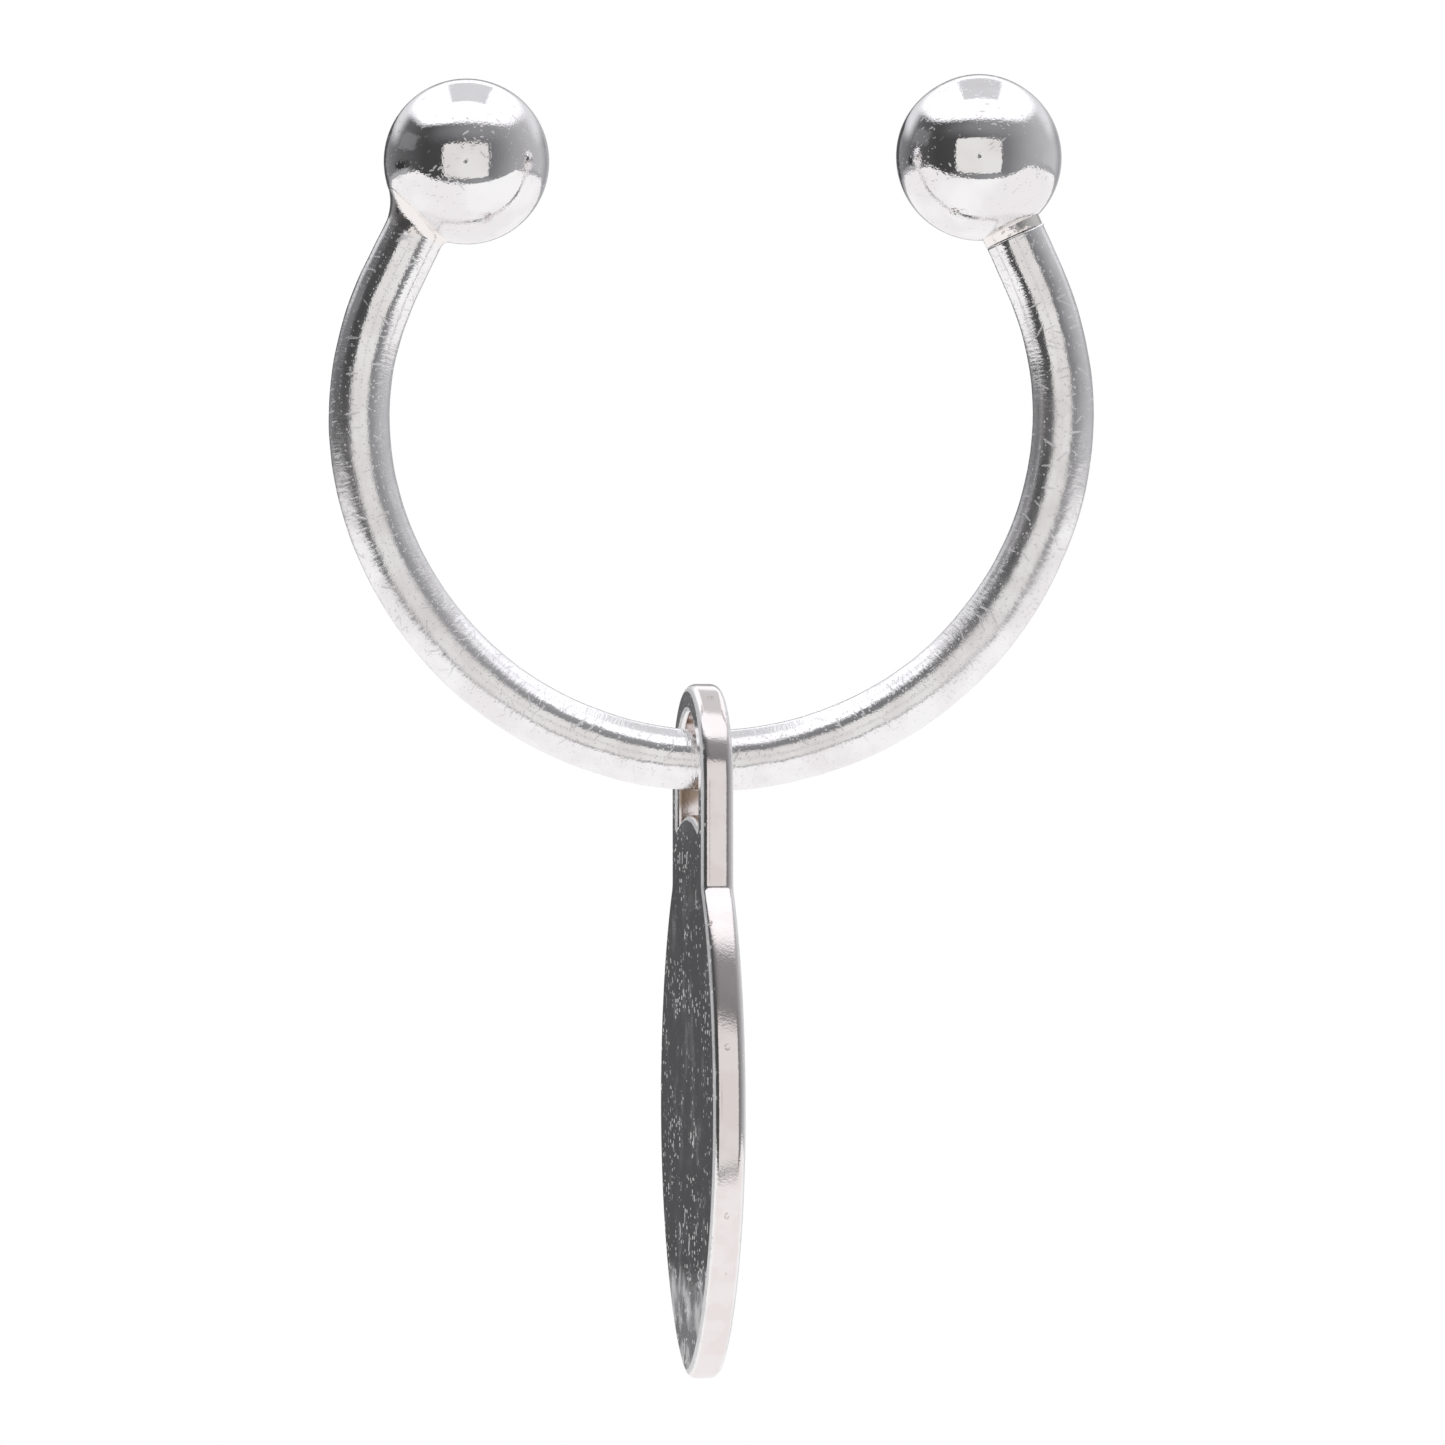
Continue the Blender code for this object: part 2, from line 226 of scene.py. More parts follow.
def studio_world():
    """The tone seen in each direction: walls first, then what hangs or stands in front of them.

    A direction has length 1. So `up` is 1 straight overhead, 0 at the horizon and -1 straight below, and
    `right`, `away` and `front` are alike for their own directions.
    """
    world = bpy.data.worlds.new("studio")
    world.use_nodes = True
    world.node_tree.nodes.clear()
    start = Signal(world.node_tree)
    right, away, up = start.node("TexCoord", {}, {}, output="Generated").axes()
    front = away * -1

    # The overhead light ends high towards the camera, lower at the sides and lowest behind.
    reach = front.at_least(0) * 1.28 + away.at_least(0) * 0.42
    spread = reach * reach + right * right * 0.64
    edge = spread.math("SQRT", spread)
    overhead = (up - edge).step(-0.07, 0.11)

    # One pane of it, just behind the middle, is greyer.
    pane = (right / up).window(-0.25, 0.32, 0.02) * (away / up).window(0.0, 1.2, 0.03) * up.step(0.0, 0.1)

    # The walls, by bearing: near black at the left and mid grey at the right, a little lighter high in front.
    bearing = right.math("ARCTAN2", right, front) / math.tau + 0.5
    wall = start.node("ValToRGB", {"stops": WALL_BY_BEARING}, {0: bearing})
    wall = wall + front.step(0.2, 0.9) * up.step(0.30, 0.75) * 0.18

    # On the left wall, a grey shelf and a dark niche. High behind on both sides, pale wall.
    shelf = right.window(-1.0, -0.86, 0.03) * up.window(0.2, 0.46, 0.02) * front.window(-0.35, 0.2, 0.03)
    wall = wall + shelf * 0.10
    niche = right.window(-1.0, -0.8, 0.02) * up.window(-0.2, 0.02, 0.02) * front.window(-0.45, 0.05, 0.03)
    wall = wall * (1 - niche * 0.7)
    pale = away.step(0.3, 0.7) * up.step(0.16, 0.36) * abs(right).step(0.12, 0.25)
    wall = wall * (1 - pale) + pale * PALE_WALL_LEVEL

    # What the tag's face looks at: a dark curtain behind on the left.
    curtain = right.window(-0.50, -0.18, 0.03) * up.window(-0.09, 0.24, 0.012) * away.step(0.7, 0.8)
    wall = wall * (1 - curtain) + curtain * CURTAIN_LEVEL

    # The backdrop straight behind the ring, the light over it all, and the floor beyond the table's edges.
    down = up * -1
    backdrop = away.step(0.975, 0.99)
    level = wall * (1 - backdrop) + backdrop * BACKDROP_LEVEL
    level = level * (1 - overhead) + overhead * (OVERHEAD_LEVEL - pane * PANE_SHADE)
    floor = down.step(0.09, 0.12) * away.step(-0.2, 0.1)
    level = level * (1 - floor) + floor * FLOOR_LEVEL
    level = level + down.step(0.35, 0.48) * front.step(0.4, 0.8) * 0.14
    tint = start.node("CombineXYZ", {}, {0: level * 0.98, 1: level * 0.985, 2: level * 1.02})

    # The camera itself sees plain white all round.
    seen = start.node("LightPath", {}, {}, output="Is Camera Ray")
    colour = seen.blend(tint, WHITE)
    light = start.node("Background", {}, {"Color": colour, "Strength": 1})
    outlet = world.node_tree.nodes.new("ShaderNodeOutputWorld")
    world.node_tree.links.new(light.socket, outlet.inputs["Surface"])
    bpy.context.scene.world = world
    print("the studio has", len(world.node_tree.nodes), "nodes")


studio_world()


# %% The table and the card round the camera
def glowing(name, colour, strength):
    """A sheet that is lit evenly from behind, so that its tone is the colour times the strength."""
    material = bpy.data.materials.new(name)
    material.use_nodes = True
    shader = material.node_tree.nodes["Principled BSDF"]
    shader.inputs["Base Color"].default_value = (0, 0, 0, 1)
    shader.inputs["Specular IOR Level"].default_value = 0
    shader.inputs["Emission Color"].default_value = colour
    shader.inputs["Emission Strength"].default_value = strength
    return material


def sheet(name, corners, material):
    """A flat sheet from its corners."""
    mesh = bpy.data.meshes.new(name)
    mesh.from_pydata(corners, [], [tuple(range(len(corners)))])
    mesh.materials.append(material)
    made = bpy.data.objects.new(name, mesh)
    bpy.context.scene.collection.objects.link(made)
    return made


# Sizes and distances of the studio, in metres.
TABLE_DROP = 0.12
TABLE_FRONT = 0.22
TABLE_REACH = 0.75
CARD_DISTANCE = 0.56
CARD_HALF_WIDTH = 0.36
CARD_HALF_HEIGHT = 0.262
CARD_MIDDLE = 0.012
LENS_RADIUS = 0.025
LENS_BEFORE_CARD = 0.005
LENS_SIDES = 48

sheet("table", [
    (-TABLE_REACH, -TABLE_FRONT, -TABLE_DROP),
    (TABLE_REACH, -TABLE_FRONT, -TABLE_DROP),
    (TABLE_REACH, TABLE_REACH, -TABLE_DROP),
    (-TABLE_REACH, TABLE_REACH, -TABLE_DROP),
], glowing("white table", (1.0, 0.99, 1.0, 1), 0.95))

card = sheet("camera_card", [
    (-CARD_HALF_WIDTH, -CARD_DISTANCE, CARD_MIDDLE - CARD_HALF_HEIGHT),
    (-CARD_HALF_WIDTH, -CARD_DISTANCE, CARD_MIDDLE + CARD_HALF_HEIGHT),
    (CARD_HALF_WIDTH, -CARD_DISTANCE, CARD_MIDDLE + CARD_HALF_HEIGHT),
    (CARD_HALF_WIDTH, -CARD_DISTANCE, CARD_MIDDLE - CARD_HALF_HEIGHT),
], glowing("pale card", (1.0, 0.98, 0.975, 1), 0.80))
card.visible_camera = False

circle = np.linspace(0, math.tau, LENS_SIDES, endpoint=False)
lens_y = LENS_BEFORE_CARD - CARD_DISTANCE
lens_ring = [(LENS_RADIUS * math.cos(turn), lens_y, LENS_RADIUS * math.sin(turn)) for turn in circle]
camera_front = sheet("camera_front", lens_ring, glowing("camera front", (0.25, 0.25, 0.26, 1), 0.8))
camera_front.visible_camera = False
print("table", TABLE_DROP, "m below, card", CARD_DISTANCE, "m in front")

# %% [markdown]
# ## Surfaces from rings of points
#
# Every piece here is a string of closed rings, because every piece is round or has a hole through it. The
# rings come as one numpy array of points, and one function joins each ring to the next. A string of rings
# ends in a centre point at each end, or it joins up with its own start, as on a tag with a hole, which is a
# flattened doughnut.


# %% Rings to faces
def ring_faces(points, wrap):
    """Joins rings of points into one closed surface: each four neighbours make a face.

    `points` has shape (rings, places round a ring, 3). Without `wrap` the first and last rings are closed by
    a fan to their middle. The volume inside is the sum of a . (b x c) / 6 over the triangles abc. If it comes
    out negative, the faces point inwards, and all of them are turned over.
    """
    rings, places = points.shape[:2]
    number = np.arange(rings * places).reshape(rings, places)
    number = np.hstack([number, number[:, :1]])
    if wrap:
        number = np.vstack([number, number[:1]])
    corners = [number[:-1, :-1], number[:-1, 1:], number[1:, 1:], number[1:, :-1]]
    quads = np.stack(corners, axis=-1).reshape(-1, 4)
    verts = points.reshape(-1, 3)
    fans = np.zeros((0, 3), int)
    if not wrap:
        first = np.full(places, len(verts))
        last = first + 1
        verts = np.vstack([verts, points[0].mean(axis=0), points[-1].mean(axis=0)])
        front = np.stack([number[0, 1:], number[0, :-1], first], axis=-1)
        back = np.stack([number[-1, :-1], number[-1, 1:], last], axis=-1)
        fans = np.vstack([front, back])

    split = np.vstack([quads[:, [0, 1, 2]], quads[:, [0, 2, 3]], fans])
    a, b, c = (verts[split[:, corner]] for corner in range(3))
    volume = np.einsum("ij,ij->i", a, np.cross(b, c)).sum() / 6
    if volume < 0:
        quads = quads[:, ::-1]
        fans = fans[:, ::-1]
    return verts, quads, fans, volume


# %% A flat pattern on the rings
def lay_pattern(mesh, around, along, turned_over, fan_corners):
    """Gives each corner its column's place in `around` and its ring's place in `along`. Fans stay at zero."""
    steps = [(0, 0), (1, 0), (1, 1), (0, 1)]
    if turned_over:
        steps = steps[::-1]
    columns = len(around) - 1
    rows = len(along) - 1
    corners = [
        np.stack([grid[down:down + rows, right:right + columns] for right, down in steps], axis=-1)
        for grid in np.meshgrid(around, along)
    ]
    flat = np.vstack([np.stack(corners, axis=-1).reshape(-1, 2), np.zeros((fan_corners, 2))])
    layer = mesh.uv_layers.new(name="pattern")
    layer.data.foreach_set("uv", flat.ravel())


# %% Faces to a piece
def ring_mesh(name, points, body, node, wrap=False, around=None, along=None):
    """A piece from rings of points. It moves with `body` and stands for the model's `node`.

    `around` and `along` give each column's and each ring's place on a flat pattern, in metres.
    """
    verts, quads, fans, volume = ring_faces(points, wrap)
    mesh = bpy.data.meshes.new(name)
    mesh.vertices.add(len(verts))
    mesh.vertices.foreach_set("co", verts.ravel())
    mesh.loops.add(quads.size + fans.size)
    mesh.loops.foreach_set("vertex_index", np.concatenate([quads.ravel(), fans.ravel()]))
    sizes = np.concatenate([np.full(len(quads), 4), np.full(len(fans), 3)])
    mesh.polygons.add(len(sizes))
    mesh.polygons.foreach_set("loop_start", np.concatenate([[0], np.cumsum(sizes)[:-1]]))
    mesh.update(calc_edges=True)
    if around is not None:
        lay_pattern(mesh, around, along, volume < 0, fans.size)
    mesh.shade_smooth()
    made = bpy.data.objects.new(name, mesh)
    bpy.context.scene.collection.objects.link(made)
    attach(made, body)
    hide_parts(node)
    print(name, 2 * len(quads) + len(fans), "triangles,", round(abs(volume) * 1e9, 1), "cubic mm")
    return made


# %% [markdown]
# ## The line of the wire
#
# The wire is straight where it enters a ball, bent in at each arm and round at the bottom. A path like that
# is easiest to follow by its heading: the heading turns at a steady rate along each stretch, and adding up
# small steps along it gives the places.


# %% The wire's path
def arm(side, lean, bend_radius, straight):
    """Where the round wire of one arm ends, and the way it points there. `side` is -1 left, 1 right.

    The arm goes on from the end of the ring. An arc of `bend_radius` turns it back until it leans inwards by
    `lean`, and a straight length follows.
    """
    start = RING_RADIUS * np.array([side * math.cos(ARM_START), 0, 1 - math.sin(ARM_START)])
    inward = np.array([-side * math.cos(ARM_START), 0, math.sin(ARM_START)])
    inward_at_end = np.array([-side * math.cos(lean), 0, -math.sin(lean)])
    way = np.array([-side * math.sin(lean), 0, math.cos(lean)])
    return start + bend_radius * (inward - inward_at_end) + straight * way, way


LEFT_END, LEFT_WAY = arm(-1, LEFT_LEAN, LEFT_BEND_RADIUS, LEFT_STRAIGHT)
RIGHT_END, RIGHT_WAY = arm(1, RIGHT_LEAN, RIGHT_BEND_RADIUS, RIGHT_STRAIGHT)
LEFT_INWARD = np.array([LEFT_WAY[2], 0, -LEFT_WAY[0]])
LEFT_BALL = LEFT_END + LEFT_BALL_REACH * LEFT_WAY + LEFT_BALL_OFFSET * LEFT_INWARD
RIGHT_BALL = RIGHT_END + RIGHT_BALL_REACH * SCREW_WAY
print("screw axis differs from the arm by", np.abs(RIGHT_WAY - SCREW_WAY).max().round(6))


PATH_STEPS = 8000
RING_SPACING = 0.1 * MM


def wire_path(spacing):
    """Places and headings along the wire's centreline, from the tenon in the left ball to the right end.

    Each place is the one before it plus a small step along (cos heading, 0, sin heading).
    """
    lengths = np.array([
        TENON_LENGTH + LEFT_STRAIGHT,
        LEFT_BEND_RADIUS * (LEFT_LEAN + ARM_START),
        RING_RADIUS * (math.pi - 2 * ARM_START),
        RIGHT_BEND_RADIUS * (RIGHT_LEAN + ARM_START),
        RIGHT_STRAIGHT,
    ])
    turns = np.array([0, LEFT_LEAN + ARM_START, math.pi - 2 * ARM_START, RIGHT_LEAN + ARM_START, 0])
    knots = np.concatenate([[0], np.cumsum(lengths)])
    headings = math.atan2(-LEFT_WAY[2], -LEFT_WAY[0]) + np.concatenate([[0], np.cumsum(turns)])
    fine = np.linspace(0, knots[-1], PATH_STEPS + 1)
    heading = np.interp(fine, knots, headings)
    steps = np.stack([np.cos(heading), np.zeros_like(heading), np.sin(heading)], axis=-1)
    middles = (steps[1:] + steps[:-1]) / 2 * np.diff(fine)[:, None]
    start = LEFT_END + TENON_LENGTH * LEFT_WAY
    places = start + np.vstack([np.zeros(3), np.cumsum(middles, axis=0)])
    along = np.linspace(0, knots[-1], round(knots[-1] / spacing) + 1)
    places = np.stack([np.interp(along, fine, places[:, axis]) for axis in range(3)], axis=-1)
    return along, places, np.interp(along, fine, heading)


along, places, heading = wire_path(RING_SPACING)
miss = np.abs(places[-1] - RIGHT_END).max()
print("wire", round(along[-1] / MM, 1), "mm long, ends", round(miss / MM, 6), "mm off the arm")

# %% [markdown]
# ## The bow
#
# The wire is drawn round, but by hand it never stays a perfect cylinder: it swells and dips by hundredths of
# a millimetre, and a mirror finish shows that in the edges of its reflections. The same sum of sines gives
# both the wire and the balls this slight unevenness, so nothing is random. The right end is sawn flat, with a
# small burr on its outer side, and drilled for the stud.


# %% Unevenness, and the bow's wire
def uneven(points, wavelength, seed):
    """A smooth wandering value, about -1 to 1, at each point: a sum of sine waves in fixed directions."""
    total = np.zeros(points.shape[:-1])
    for number in range(6):
        turn = seed + 2.4 * number
        way = np.array([math.cos(turn), math.sin(1.7 * turn), math.sin(turn + 0.8)])
        way = way / np.linalg.norm(way)
        total += np.sin(points @ way * math.tau / (wavelength * (0.7 + 0.13 * number)) + 1.3 * turn)
    return total / 3


STUD_ROOT_LENGTH = 2.2 * MM
SAWN_EDGE = 0.02 * MM
BURR_HEIGHT = 0.06 * MM
WIRE_SIDES = 88


def wire_rings():
    """The wire's rings: along the path, then in over the sawn end, down the hole and across its floor.

    Each point is its ring's centre plus the radius along sin(turn) inward + cos(turn) Y. The skin's radius is
    also multiplied by a swell, and the last ring's has the burr added.
    """
    hole = THREAD_ROOT + FIT
    back = [0, 0, 0, 0, STUD_ROOT_LENGTH / 2, STUD_ROOT_LENGTH + FIT]
    radius = [WIRE_RADIUS - SAWN_EDGE, WIRE_RADIUS - 3 * SAWN_EDGE, hole + SAWN_EDGE, hole, hole, hole]
    rows = len(along) + len(back)
    centres = np.vstack([places, RIGHT_END - np.outer(back, RIGHT_WAY)])
    angles = np.concatenate([heading, np.full(len(back), heading[-1])])
    radii = np.concatenate([np.full(len(along), WIRE_RADIUS), radius])
    radii[len(along) - 1] = WIRE_RADIUS - 0.3 * SAWN_EDGE
    radii[0] = WIRE_RADIUS - 3 * SAWN_EDGE
    around = np.linspace(0, math.tau, WIRE_SIDES, endpoint=False)
    inward = np.stack([-np.sin(angles), np.zeros(rows), np.cos(angles)], axis=-1)
    turn = around[None, :, None]
    ring = np.sin(turn) * inward[:, None] + np.cos(turn) * np.array([0, 1, 0])
    skin = centres[:, None] + WIRE_RADIUS * ring
    slow = 0.008 * uneven(skin, wavelength=5 * MM, seed=0.4)
    quick = 0.0035 * uneven(skin, wavelength=1.3 * MM, seed=2.0)
    swell = 1 + slow + quick
    swell[len(along):] = 1
    burr = np.zeros((rows, WIRE_SIDES))
    burr[len(along) - 1] = BURR_HEIGHT * np.clip(-np.sin(around), 0, 1) ** 3
    return centres[:, None] + (radii[:, None] * swell + burr)[:, :, None] * ring


rings = wire_rings()
pattern_around = np.linspace(0, math.tau * WIRE_RADIUS, WIRE_SIDES + 1)
pattern_along = np.pad(along, (0, len(rings) - len(along)), "edge")
bow = ring_mesh("bow_wire_polished", rings, "bow", "bow_wire", around=pattern_around, along=pattern_along)

# %% [markdown]
# ## The balls
#
# A ball is a profile turned about the line of its hole: from the far pole round to the hole's edge, down the
# hole and across its floor.


# %% Turned pieces
def circle_about(way, around):
    """A unit vector square to `way` for each turn in `around`: cos(turn) (Y x way) + sin(turn) Y."""
    across = np.cross([0, 1, 0], way)
    return np.cos(around)[:, None] * across + np.sin(around)[:, None] * np.array([0, 1, 0])


def turned_rings(profile, origin, way, sides):
    """Rings of a profile of (radius, height) points turned about an axis through `origin` along `way`."""
    profile = np.array(profile)
    ring = circle_about(way, np.linspace(0, math.tau, sides, endpoint=False))
    return origin + profile[:, 0, None, None] * ring + profile[:, 1, None, None] * np.array(way)


# %% The balls
BALL_HOLE_RADIUS = WIRE_RADIUS + FIT
BALL_SIDES = 128
BALL_RINGS = 120
POLE_GAP = 0.004


def ball_rings(centre, way, hole_end, offset, wobble, seed):
    """A ball's rings. The hole is `offset` beside the middle, and its floor `hole_end` before the middle.

    The rings slide from being centred on the ball at the far pole to being centred on the hole at its edge,
    by adding a growing share of the offset and then stretching each point back on to the ball.
    """
    polar = np.linspace(POLE_GAP, math.pi - math.asin(BALL_HOLE_RADIUS / BALL_RADIUS), BALL_RINGS)
    profile = np.stack([BALL_RADIUS * np.sin(polar), BALL_RADIUS * np.cos(polar)], axis=-1)
    skin = turned_rings(profile, np.zeros(3), way, BALL_SIDES)
    inward = np.cross([0, 1, 0], way)
    share = np.clip((polar / polar[-1] - 0.5) * 2, 0, 1) ** 2
    skin = skin - (share * offset)[:, None, None] * inward
    skin = skin / np.linalg.norm(skin, axis=-1, keepdims=True) * BALL_RADIUS
    skin = skin * (1 + wobble * uneven(skin, wavelength=5 * MM, seed=seed))[:, :, None]
    mouth = skin[-1]
    down = hole_end + np.einsum("ij,j->i", mouth, way)
    wall = [mouth - (depth * down)[:, None] * way for depth in (0.04, 0.5, 1.0)]
    return centre + np.concatenate([skin, np.stack(wall)])


print("ball centres", (LEFT_BALL / MM).round(2), (RIGHT_BALL / MM).round(2))
left_rings = ball_rings(
    LEFT_BALL, LEFT_WAY, hole_end=1.16 * MM, offset=LEFT_BALL_OFFSET, wobble=0.0012, seed=0.9)
right_rings = ball_rings(
    RIGHT_BALL, SCREW_WAY, hole_end=0.32 * MM, offset=0, wobble=0.0060, seed=3.1)
fixed_ball = ring_mesh("fixed_ball_polished", left_rings, "bow", "fixed_ball")
screw_ball = ring_mesh("screw_ball_polished", right_rings, "ball", "screw_ball")

# %% [markdown]
# ## Solder, stud and bush
#
# Solder runs into the corner between wire and ball by itself and leaves a hollow fillet, full where there is
# most room. The stud's thread is a ridge that climbs one pitch in each turn. The bush is a drilled length of
# the wire.

# %% The solder at the left ball
SOLDER_THIN_LEG = 0.3 * MM
SOLDER_FULL_LEG = 1.15 * MM
SOLDER_SPREAD = 0.7
SOLDER_SUNK = 0.01 * MM
SOLDER_ROOT = 0.1 * MM
SOLDER_SIDES = 96


def solder_rings():
    """Sections round the wire. Each has a side on the wire, one on the ball, and a hollow side between them.

    The hollow side is a curve that leaves the wire along it, bends at the corner of wire and ball and runs
    out on the ball. Its points are low (1-t)^2 + 2 corner t (1-t) + high t^2.
    """
    around = np.linspace(0, math.tau, SOLDER_SIDES, endpoint=False)
    toward = np.cos(around)
    inner = WIRE_RADIUS - SOLDER_SUNK

    def ball_height(radius):
        off_centre = radius ** 2 - 2 * radius * LEFT_BALL_OFFSET * toward + LEFT_BALL_OFFSET ** 2
        return LEFT_BALL_REACH - np.sqrt(BALL_RADIUS ** 2 - off_centre)

    lumps = 1 + 0.12 * np.sin(3 * around + 0.6) + 0.08 * np.sin(7 * around)
    leg = (SOLDER_THIN_LEG + (SOLDER_FULL_LEG - SOLDER_THIN_LEG) * (1 - toward) / 2) * lumps
    outer = inner + SOLDER_SPREAD * leg
    t = np.linspace(0, 1, 24)[:, None]
    corner = ball_height(inner)
    radius = (1 - t) ** 2 * inner + 2 * t * (1 - t) * (inner + 0.02 * MM) + t ** 2 * outer
    top = ball_height(outer) - SOLDER_SUNK
    height = (1 - t) ** 2 * (corner - leg) + 2 * t * (1 - t) * corner + t ** 2 * top
    back = np.stack([outer, (outer + inner) / 2, np.full(len(around), inner - SOLDER_ROOT)])
    back_height = np.stack([ball_height(row) + SOLDER_ROOT for row in back])
    foot = np.full((1, len(around)), inner - SOLDER_ROOT)
    radius = np.vstack([radius, back, foot])
    height = np.vstack([height, back_height, corner[None] - leg])
    ring = circle_about(LEFT_WAY, around)
    return LEFT_END + radius[:, :, None] * ring + height[:, :, None] * LEFT_WAY


solder = ring_mesh("solder_seam", solder_rings(), "bow", "solder_fillet", wrap=True)


# %% The threaded stud
STUD_SIDES = 72
THREAD_STEPS = 256
RIDGE_FULLNESS = 2.2
FLANK_SLOPE = 6.4


def stud_rings():
    """A plain root, then a cylinder whose radius rises into a ridge.

    The phase is the height in pitches less the turn, so it stays the same along the helix. The ridge is full
    around a phase of a half, and its flanks fall away evenly on both sides. It dies out at both ends.
    """
    around = np.linspace(0, math.tau, STUD_SIDES, endpoint=False)
    heights = np.linspace(0, THREAD_LENGTH, THREAD_STEPS + 1)
    phase = (heights[:, None] / THREAD_PITCH - around[None] / math.tau) % 1
    ridge = np.clip(RIDGE_FULLNESS - np.abs(phase - 0.5) * FLANK_SLOPE, 0, 1)
    radius = THREAD_ROOT + (THREAD_CREST - THREAD_ROOT) * ridge
    ends = np.minimum(heights, THREAD_LENGTH - heights)[:, None]
    radius = np.minimum(radius, THREAD_ROOT + ends)
    root = np.array([[THREAD_ROOT, -STUD_ROOT_LENGTH], [THREAD_ROOT, -0.01 * MM]])
    plain = turned_rings(root, RIGHT_END, SCREW_WAY, STUD_SIDES)
    ring = circle_about(SCREW_WAY, around)
    thread = RIGHT_END + radius[:, :, None] * ring + heights[:, None, None] * SCREW_WAY
    return np.concatenate([plain, thread])


stud = ring_mesh("stud_cut_thread", stud_rings(), "bow", "threaded_stud")

# %% The bush in the screw ball
BUSH_LENGTH = 3.6 * MM
BUSH_BORE = 1.05 * MM
BUSH_EDGE = 0.02 * MM
BUSH_SIDES = 96

bush_profile = [
    (BUSH_BORE, FIT + BUSH_EDGE),
    (BUSH_BORE + BUSH_EDGE, FIT),
    (WIRE_RADIUS - BUSH_EDGE, FIT),
    (WIRE_RADIUS, FIT + BUSH_EDGE),
    (WIRE_RADIUS, FIT + BUSH_LENGTH),
    (BUSH_BORE, FIT + BUSH_LENGTH),
]
bush_rings = turned_rings(bush_profile, RIGHT_END, SCREW_WAY, BUSH_SIDES)
bush = ring_mesh("bush_turned", bush_rings, "ball_carrier", "ball_bush", wrap=True)

# %% [markdown]
# ## The tag
#
# The tag is stamped from sheet: a pointed oval with a loop on top, all edges rounded by tumbling and
# polishing. A plate with one hole is a flattened doughnut, so it can be strung from closed rings too. One
# ring follows the hole, the next ones spread over the face to the outer edge, round it, back over the other
# face and through the hole. For that, each place on the outer edge is paired with the place on the hole that
# lies on the same ray from the middle of the loop.

# %% The tag's sizes
TAG_THICKNESS = 1.5 * MM
TAG_HALF_WIDTH = 8.0 * MM
TAG_OVAL_CENTRE = -15.9 * MM
TAG_TOP_LENGTH = 13.05 * MM
TAG_TIP_LENGTH = 12.45 * MM
TAG_TOP_POWER = 0.62
TAG_TIP_POWER = 0.64
LOOP_CENTRE = -1.0 * MM
LOOP_OUTER_RADIUS = 4.5 * MM
LOOP_INNER_RADIUS = 3.2 * MM
HOLE_FLOOR_PEAK = -2.52 * MM
HOLE_FLOOR_DROP = 0.7 * MM
TAG_EDGE_RADIUS = 0.42 * MM
HOLE_EDGE_RADIUS = 0.3 * MM
TAG_YAW = math.radians(9.2)
TAG_SHIFT = -0.38 * MM
RAY_MIDDLE = np.array([0, -1.7 * MM])
SHARES_OVER_FACE = [0.01, 0.04, 0.15, 0.4, 0.7, 0.9, 0.97, 0.993]
EDGE_STEPS = 9


# %% The tag's outlines
def even_loop(points, spacing, softness):
    """A closed outline at an even spacing, its corners rounded by averaging neighbouring places."""
    closed = np.vstack([points, points[:1]])
    lengths = np.concatenate([[0], np.cumsum(np.linalg.norm(np.diff(closed, axis=0), axis=1))])
    count = round(lengths[-1] / spacing)
    at = np.linspace(0, lengths[-1], count, endpoint=False)
    even = np.stack([np.interp(at, lengths, closed[:, axis]) for axis in range(2)], axis=-1)
    reach = round(4 * softness / spacing)
    weights = np.exp(-0.5 * (np.arange(-reach, reach + 1) * spacing / softness) ** 2)
    weights /= weights.sum()
    padded = np.vstack([even[-reach:], even, even[:reach]])
    return np.stack([np.convolve(padded[:, axis], weights, "valid") for axis in range(2)], axis=-1)


def outer_outline():
    """The right half as (across, height): an arch, a straight side and half an oval, then its mirror image.

    The oval's half width is the half width of the tag times the sine of the turn to a power, which points it.
    """
    turn = np.linspace(math.pi / 2, 0, 200)
    arch = np.stack([np.cos(turn), np.sin(turn)], axis=-1) * LOOP_OUTER_RADIUS + [0, LOOP_CENTRE]
    turn = np.linspace(0, math.pi, 4000)
    power = np.where(turn < math.pi / 2, TAG_TOP_POWER, TAG_TIP_POWER)
    width = TAG_HALF_WIDTH * np.sin(turn) ** (2 * power)
    length = np.where(turn < math.pi / 2, TAG_TOP_LENGTH, TAG_TIP_LENGTH)
    oval = np.stack([width, TAG_OVAL_CENTRE + length * np.cos(turn)], axis=-1)
    starts = np.argmax((width > LOOP_OUTER_RADIUS) & (turn < math.pi / 2))
    half = np.vstack([arch, oval[starts:]])
    return np.vstack([half, half[-2:0:-1] * [-1, 1]])


def hole_outline():
    """The hole's right half: an arch, a straight side and a humped floor, then its mirror image."""
    turn = np.linspace(math.pi / 2, 0, 100)
    arch = np.stack([np.cos(turn), np.sin(turn)], axis=-1) * LOOP_INNER_RADIUS + [0, LOOP_CENTRE]
    floor_radius = (LOOP_INNER_RADIUS ** 2 + HOLE_FLOOR_DROP ** 2) / (2 * HOLE_FLOOR_DROP)
    turn = np.linspace(math.asin(LOOP_INNER_RADIUS / floor_radius), 0, 60)
    floor = np.stack([np.sin(turn), np.cos(turn) - 1], axis=-1) * floor_radius + [0, HOLE_FLOOR_PEAK]
    half = np.vstack([arch, floor])
    return np.vstack([half, half[-2:0:-1] * [-1, 1]])


